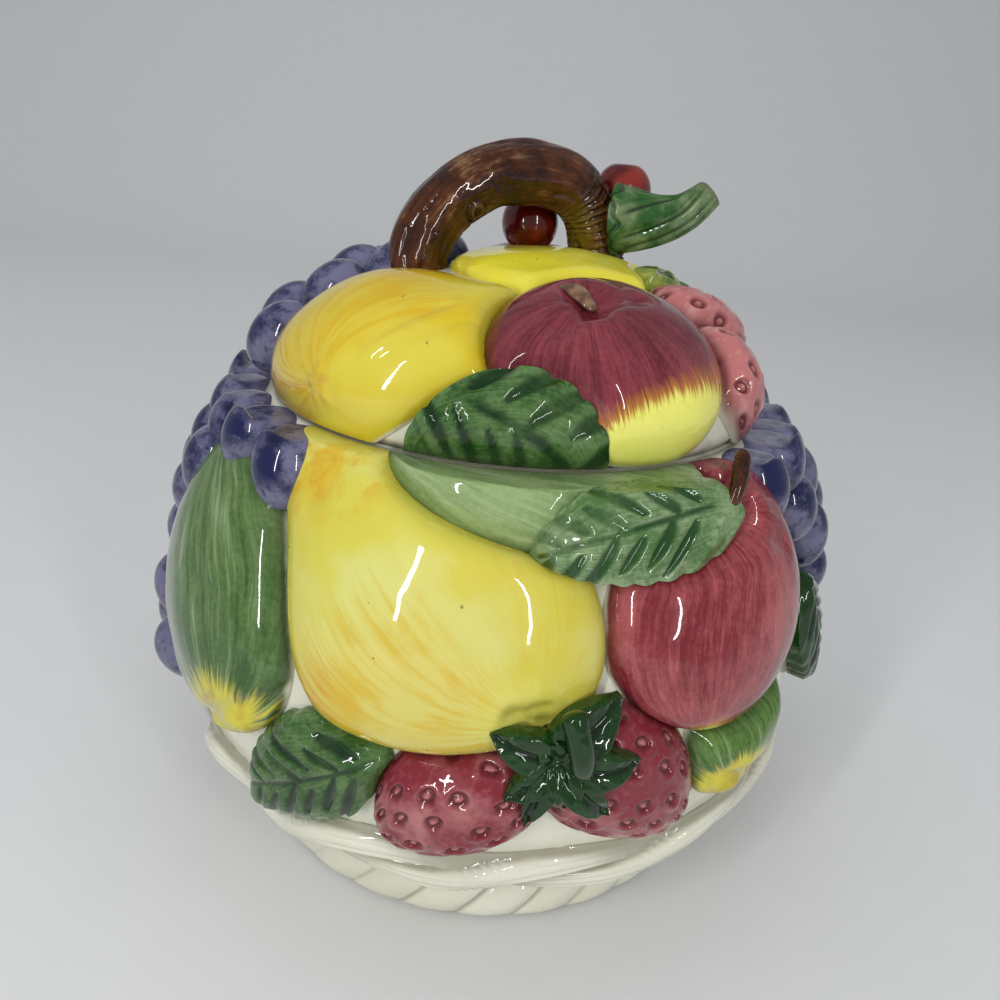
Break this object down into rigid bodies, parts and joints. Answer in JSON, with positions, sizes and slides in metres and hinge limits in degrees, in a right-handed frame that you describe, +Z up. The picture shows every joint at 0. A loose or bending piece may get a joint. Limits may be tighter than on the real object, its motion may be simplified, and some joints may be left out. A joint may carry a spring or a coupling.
{
  "type": "cookie jar",
  "caption": "Round ceramic cookie jar moulded with fruit and leaves, on a rope foot, with a domed lid lifted by an arched branch handle.",
  "frame": {"origin": "middle of the jar's flat underside, on the surface it stands on", "axes": "+Z up along the jar's axis and the way the lid lifts; -Y is the side with the large pear"},
  "size_m": [0.2552, 0.2608, 0.2531],
  "materials": {
    "cream_glaze": "glossy painted glaze",
    "pear_glaze": "glossy painted glaze",
    "lemon_glaze": "glossy painted glaze",
    "squash_glaze": "glossy painted glaze",
    "apple_glaze": "glossy painted glaze",
    "berry_glaze": "glossy painted glaze",
    "leaf_glaze": "glossy painted glaze",
    "dark_leaf_glaze": "glossy painted glaze",
    "grape_glaze": "glossy painted glaze",
    "bark_glaze": "glossy painted glaze",
    "cherry_glaze": "glossy painted glaze"
  },
  "bodies": {
    "jar": {"jar_shell": "cream_glaze", "rope_foot": "cream_glaze", "plaited_band": "cream_glaze", "apple_stem": "bark_glaze", "strawberry_stem": "dark_leaf_glaze", "strawberry_calyx": "dark_leaf_glaze", "gourd_leaf": "leaf_glaze", "green_gourd": "squash_glaze", "large_pear": "pear_glaze", "red_apple": "apple_glaze", "strawberry_left": "berry_glaze", "strawberry_right": "berry_glaze", "grape_bunch_left": "grape_glaze", "green_squash_left": "squash_glaze", "green_squash_right": "squash_glaze", "leaf_lower_left": "leaf_glaze", "leaf_right": "dark_leaf_glaze", "back_leaf_low": "leaf_glaze", "back_leaf_high": "leaf_glaze", "side_leaf_right": "leaf_glaze", "side_leaf_left": "leaf_glaze", "back_apple": "apple_glaze", "back_pear": "pear_glaze", "back_squash": "squash_glaze", "back_strawberry": "berry_glaze", "back_peach": "apple_glaze", "side_lemon": "lemon_glaze", "side_plum": "berry_glaze", "grape_bunch_right": "grape_glaze"},
    "lid": {"lid_shell": "cream_glaze", "branch_handle": "bark_glaze", "handle_shoot": "leaf_glaze", "cherry_middle": "cherry_glaze", "cherry_right": "cherry_glaze", "lid_leaf": "leaf_glaze", "lid_small_leaf": "leaf_glaze", "lid_pear": "lemon_glaze", "lid_peach": "apple_glaze", "lid_strawberry_low": "berry_glaze", "lid_strawberry_high": "berry_glaze", "lid_squash": "lemon_glaze", "lid_back_apple": "apple_glaze", "lid_back_leaf": "leaf_glaze", "lid_grape_bunch": "grape_glaze"}
  },
  "joints": [
    {"name": "lid_lift", "type": "slide", "parent": "jar", "child": "lid", "axis": [0, 0, 1], "range_m": [0, 0.12]}
  ]
}
